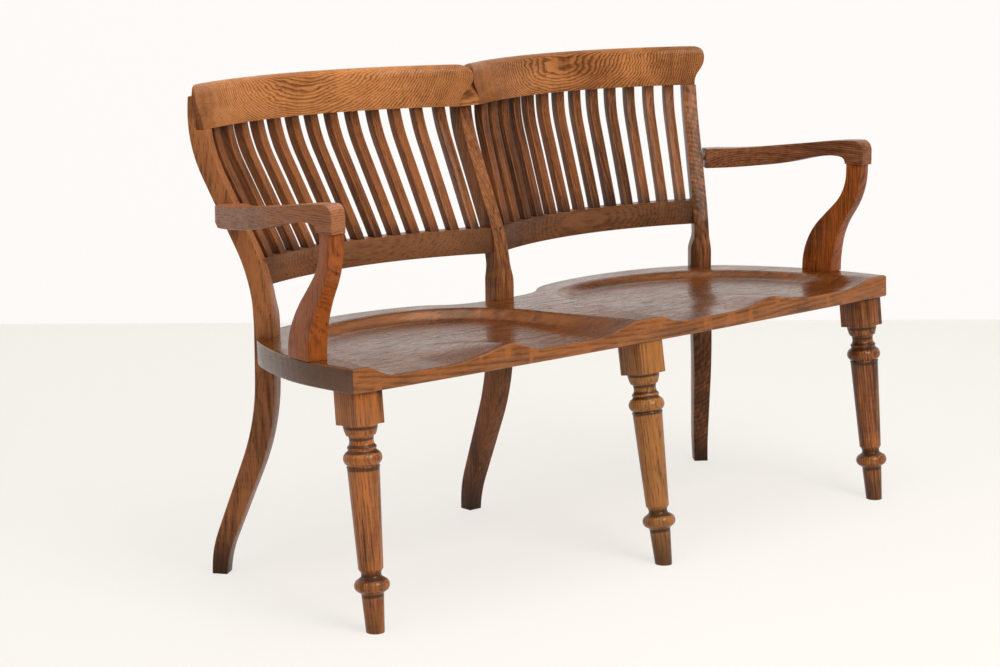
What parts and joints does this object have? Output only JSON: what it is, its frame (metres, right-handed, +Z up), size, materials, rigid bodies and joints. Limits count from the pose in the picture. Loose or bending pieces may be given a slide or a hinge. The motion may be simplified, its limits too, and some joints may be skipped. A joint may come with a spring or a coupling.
{
  "type": "double chair-back settee",
  "caption": "Two-seat wooden settee with a saddled plank seat, twin bowed slatted backs, curved arms and turned front legs.",
  "frame": {"origin": "centre of the overall box, on the floor under the feet", "axes": "+X along the width to the right of a person facing the front, +Y from the front to the back, +Z up; the front faces -Y"},
  "size_m": [1.3494, 0.655, 0.869],
  "materials": {
    "dowel_wood": "plain",
    "oak_arm": "satin varnish over brown stain",
    "oak_crest": "satin varnish over brown stain",
    "oak_leg": "satin varnish over brown stain",
    "oak_plug": "satin varnish over brown stain",
    "oak_post": "satin varnish over brown stain",
    "oak_rail": "satin varnish over brown stain",
    "oak_seat": "glossy varnish, worn",
    "oak_slat": "satin varnish over brown stain",
    "oak_support": "satin varnish over brown stain",
    "screw_steel": "plain"
  },
  "bodies": {
    "root": {"arm_joint_dowels": "dowel_wood", "arm_lap_dowels": "dowel_wood", "centre_back_post": "oak_post", "centre_front_leg": "oak_leg", "crest_cross_dowel": "dowel_wood", "crest_dowels": "dowel_wood", "crest_wedge": "oak_crest", "left_arm": "oak_arm", "left_arm_support": "oak_support", "left_back_post": "oak_post", "left_crest_rail": "oak_crest", "left_front_leg": "oak_leg", "left_lower_rail": "oak_rail", "left_slat_01": "oak_slat", "left_slat_02": "oak_slat", "left_slat_03": "oak_slat", "left_slat_04": "oak_slat", "left_slat_05": "oak_slat", "left_slat_06": "oak_slat", "left_slat_07": "oak_slat", "left_slat_08": "oak_slat", "left_slat_09": "oak_slat", "left_slat_10": "oak_slat", "left_slat_11": "oak_slat", "left_slat_12": "oak_slat", "left_slat_13": "oak_slat", "post_plugs": "oak_plug", "post_screws": "screw_steel", "right_arm": "oak_arm", "right_arm_support": "oak_support", "right_back_post": "oak_post", "right_crest_rail": "oak_crest", "right_front_leg": "oak_leg", "right_lower_rail": "oak_rail", "right_slat_01": "oak_slat", "right_slat_02": "oak_slat", "right_slat_03": "oak_slat", "right_slat_04": "oak_slat", "right_slat_05": "oak_slat", "right_slat_06": "oak_slat", "right_slat_07": "oak_slat", "right_slat_08": "oak_slat", "right_slat_09": "oak_slat", "right_slat_10": "oak_slat", "right_slat_11": "oak_slat", "right_slat_12": "oak_slat", "right_slat_13": "oak_slat", "seat_board": "oak_seat", "support_dowels": "dowel_wood"}
  },
  "joints": []
}
